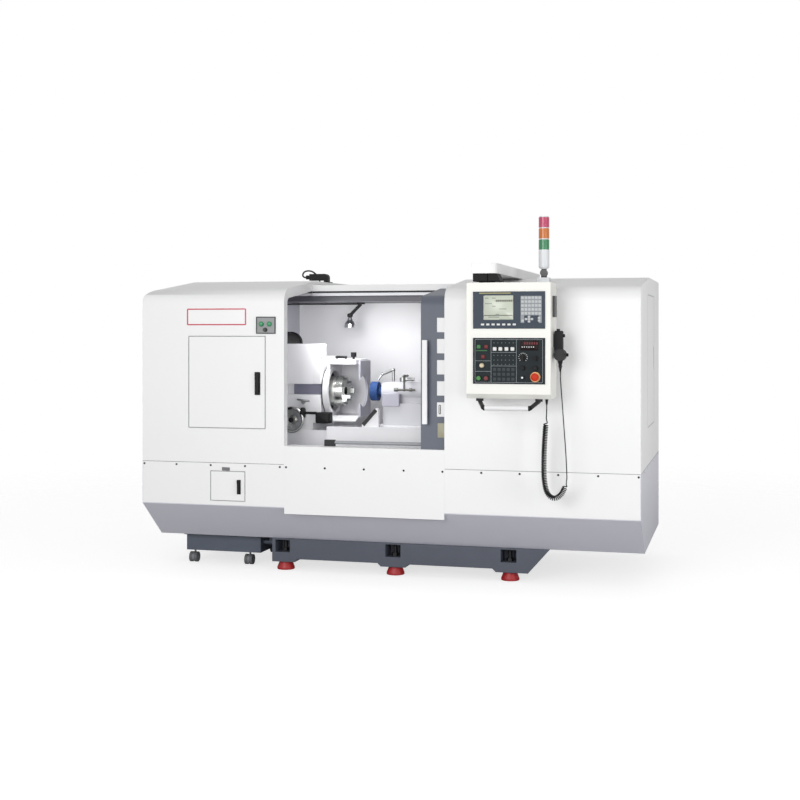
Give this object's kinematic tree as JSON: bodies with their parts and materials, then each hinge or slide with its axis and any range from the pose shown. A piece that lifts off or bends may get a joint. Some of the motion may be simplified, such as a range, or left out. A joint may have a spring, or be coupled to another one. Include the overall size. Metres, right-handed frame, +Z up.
{
  "type": "cnc internal grinder",
  "caption": "Enclosed grinding machine on a cast bed: chuck workhead facing a grinding spindle behind a sliding door that wraps over the top, with a hanging control pendant and signal tower.",
  "frame": {"origin": "on the floor, under the middle of the box round the whole machine", "axes": "+X along the machine to the right of a person facing it, +Y from front to back, +Z up"},
  "size_m": [2.9, 1.709, 2.0649],
  "materials": {
    "grey_casting": "slate grey enamel on cast iron",
    "grey_paint": "slate grey enamel on sheet",
    "red_foot": "red enamel",
    "black_steel": "blackened steel",
    "grey_plastic": "grey plastic",
    "caster_rubber": "grey rubber",
    "tray_paint": "pale lilac grey powder coat",
    "white_paint": "white fine-texture powder coat",
    "cream_paint": "cream white powder coat",
    "head_paint": "pale grey enamel",
    "band_paint": "dark blue grey powder coat",
    "black_paint": "black enamel",
    "rail_aluminium": "clear anodised",
    "lamp_aluminium": "satin",
    "window_glass": "laminated safety glass",
    "black_rubber": "matt profile",
    "white_plastic": "moulded white",
    "handle_white": "white grip with black brackets",
    "black_plastic": "moulded black",
    "dial_plastic": "moulded black",
    "display_plastic": "blue grey bezel",
    "panel_plastic": "dark membrane panel",
    "bright_steel": "ground bright",
    "ground_steel": "ground",
    "handwheel_chrome": "polished",
    "blue_abrasive": "blue bonded grit",
    "stop_red": "red",
    "button_red": "red lens",
    "button_green": "green lens",
    "cord_black": "black jacket",
    "tower_plastic": "pale grey",
    "lens_plastic": "coloured lenses: red over amber over green"
  },
  "bodies": {
    "machine": {"bed": "grey_casting", "levelling_feet": "red_foot", "levelling_screws": "black_steel", "drip_tray": "tray_paint", "lower_panels": "white_paint", "centre_panel": "white_paint", "left_hood": "white_paint", "right_hood": "white_paint", "right_end_panel": "white_paint", "rear_panel": "white_paint", "centre_roof": "white_paint", "splash_wall": "white_paint", "door_rails": "rail_aluminium", "switch_plate": "grey_plastic", "lamp_arm": "black_paint", "boom": "white_paint", "swivel": "black_plastic", "tower_base": "tower_plastic", "tower_lenses": "lens_plastic", "roof_elbow": "black_plastic", "roof_cable": "cord_black"},
    "tank": {"coolant_tank": "grey_paint", "caster_hoods": "grey_plastic", "caster_wheels": "caster_rubber"},
    "door": {"front_door": "white_paint", "door_band": "band_paint", "door_window": "window_glass", "window_gasket": "black_rubber", "door_pull": "white_plastic"},
    "hatch": {"left_hatch": "white_paint"},
    "hatch_latch": {"left_hatch_latch": "black_plastic"},
    "low_hatch": {"lower_hatch": "white_paint"},
    "low_latch": {"lower_hatch_latch": "black_plastic"},
    "side_door": {"end_door": "white_paint"},
    "side_latch": {"end_door_latch": "black_plastic"},
    "cross_slide": {"workhead_slide": "white_paint", "workhead": "white_paint", "workhead_motor": "black_paint", "chuck_guard": "white_paint"},
    "spindle": {"chuck": "bright_steel", "chuck_jaws": "ground_steel"},
    "cover": {"guard_cover": "white_paint"},
    "hand_wheel": {"handwheel": "handwheel_chrome"},
    "long_slide": {"wheel_slide": "white_paint", "wheelhead": "head_paint", "coolant_nozzle": "ground_steel"},
    "grinder": {"grinding_wheel": "blue_abrasive"},
    "lamp": {"lamp_head": "lamp_aluminium"},
    "pendant": {"pendant_box": "cream_paint", "display_unit": "display_plastic", "operator_panel": "panel_plastic", "handle_bar": "handle_white", "pulse_generator": "black_plastic", "pulse_cord": "cord_black"},
    "stop": {"emergency_stop": "stop_red"},
    "feed": {"feed_selector": "black_plastic"},
    "mode": {"mode_selector": "black_plastic"},
    "start": {"start_button": "button_green"},
    "halt": {"halt_button": "button_red"},
    "dial": {"pulse_dial": "dial_plastic"}
  },
  "joints": [
    {"name": "door_slide", "type": "slide", "parent": "machine", "child": "door", "axis": [-1, 0, 0], "range_m": [0, 0.8]},
    {"name": "hatch_swing", "type": "hinge", "parent": "machine", "child": "hatch", "pos_m": [-1.158, -0.5555, 1.12], "axis": [0, 0, -1], "range_deg": [0, 110]},
    {"name": "hatch_latch_turn", "type": "hinge", "parent": "hatch", "child": "hatch_latch", "pos_m": [-0.7265, -0.5555, 1.1635], "axis": [0, 1, 0], "range_deg": [0, 90]},
    {"name": "low_hatch_swing", "type": "hinge", "parent": "machine", "child": "low_hatch", "pos_m": [-1.02, -0.5555, 0.5185], "axis": [0, 0, -1], "range_deg": [0, 110]},
    {"name": "low_latch_turn", "type": "hinge", "parent": "low_hatch", "child": "low_latch", "pos_m": [-0.8416, -0.5555, 0.545], "axis": [0, 1, 0], "range_deg": [0, 90]},
    {"name": "side_door_swing", "type": "hinge", "parent": "machine", "child": "side_door", "pos_m": [1.45, -0.0875, 1.245], "axis": [0, 0, -1], "range_deg": [0, 110]},
    {"name": "side_latch_lift", "type": "hinge", "parent": "side_door", "child": "side_latch", "pos_m": [1.4343, 0.3925, 1.32], "axis": [0, -1, 0], "range_deg": [0, 25]},
    {"name": "tank_roll", "type": "slide", "parent": "machine", "child": "tank", "axis": [0, -1, 0], "range_m": [0, 0.9]},
    {"name": "cross_feed", "type": "slide", "parent": "machine", "child": "cross_slide", "axis": [0, 1, 0], "range_m": [0, 0.1]},
    {"name": "chuck_spin", "type": "hinge", "parent": "cross_slide", "child": "spindle", "pos_m": [-0.43, 0.0445, 1.05], "axis": [1, 0, 0], "continuous": true},
    {"name": "cover_lift", "type": "hinge", "parent": "cross_slide", "child": "cover", "pos_m": [-0.41, 0.1995, 1.2153], "axis": [-1, 0, 0], "range_deg": [0, 75]},
    {"name": "handwheel_turn", "type": "hinge", "parent": "cross_slide", "child": "hand_wheel", "pos_m": [-0.665, -0.1555, 0.88], "axis": [0, -1, 0], "continuous": true},
    {"name": "long_feed", "type": "slide", "parent": "machine", "child": "long_slide", "axis": [1, 0, 0], "range_m": [-0.1, 0.15]},
    {"name": "grinder_spin", "type": "hinge", "parent": "long_slide", "child": "grinder", "pos_m": [-0.19, 0.0445, 1.05], "axis": [1, 0, 0], "continuous": true},
    {"name": "lamp_tilt", "type": "hinge", "parent": "machine", "child": "lamp", "pos_m": [-0.449, 0.3445, 1.515], "axis": [0, 1, 0], "range_deg": [-40, 40]},
    {"name": "pendant_swing", "type": "hinge", "parent": "machine", "child": "pendant", "pos_m": [0.647, -0.7055, 1.69], "axis": [0, 0, -1], "range_deg": [0, 90]},
    {"name": "stop_press", "type": "slide", "parent": "pendant", "child": "stop", "axis": [0, 1, 0], "range_m": [0, 0.005]},
    {"name": "feed_turn", "type": "hinge", "parent": "pendant", "child": "feed", "pos_m": [0.85803, -0.8065, 1.27794], "axis": [0, -1, 0], "range_deg": [-135, 135]},
    {"name": "mode_turn", "type": "hinge", "parent": "pendant", "child": "mode", "pos_m": [0.92485, -0.8065, 1.27405], "axis": [0, -1, 0], "range_deg": [-60, 60]},
    {"name": "start_press", "type": "slide", "parent": "pendant", "child": "start", "axis": [0, 1, 0], "range_m": [0, 0.003], "stiffness_N_per_m": 800},
    {"name": "halt_press", "type": "slide", "parent": "pendant", "child": "halt", "axis": [0, 1, 0], "range_m": [0, 0.003], "stiffness_N_per_m": 800},
    {"name": "dial_turn", "type": "hinge", "parent": "pendant", "child": "dial", "pos_m": [1.0402, -0.7265, 1.29004], "axis": [0, -1, 0], "continuous": true}
  ]
}
